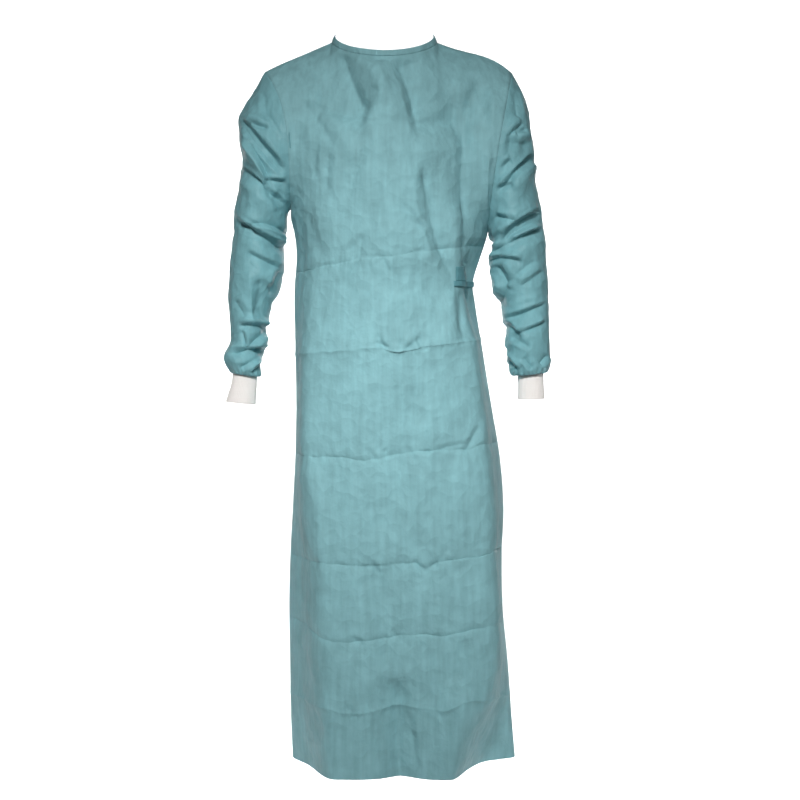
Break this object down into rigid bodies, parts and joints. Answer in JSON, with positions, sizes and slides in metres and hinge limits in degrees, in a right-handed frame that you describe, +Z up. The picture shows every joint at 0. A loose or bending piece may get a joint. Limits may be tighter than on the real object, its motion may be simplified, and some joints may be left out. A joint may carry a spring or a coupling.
{
  "type": "surgical gown",
  "caption": "Long-sleeved nonwoven surgical gown with knitted cuffs, bound neck, overlapping back and side tie, hanging open and hollow as if worn.",
  "frame": {"origin": "where the shoulders carry the gown: on the gown's middle line, level with the base of the neck at the sides of the neckline", "axes": "+X towards the wearer's left sleeve, -Y out of the gown's front, +Z up from hem to neck"},
  "size_m": [0.6069, 0.3338, 1.3484],
  "materials": {
    "nonwoven_cloth": "soft matt nonwoven with a slight sheen",
    "tie_tape": "matt nonwoven, two layers",
    "cuff_knit": "matt rib knit"
  },
  "bodies": {
    "root": {"front_panel": "nonwoven_cloth", "back_panel_right_over": "nonwoven_cloth", "back_panel_left_under": "nonwoven_cloth", "sleeve_right": "nonwoven_cloth", "sleeve_left": "nonwoven_cloth", "cuff_right": "cuff_knit", "cuff_left": "cuff_knit", "neck_binding": "nonwoven_cloth", "waist_tie": "tie_tape", "tie_tab": "tie_tape"}
  },
  "joints": []
}
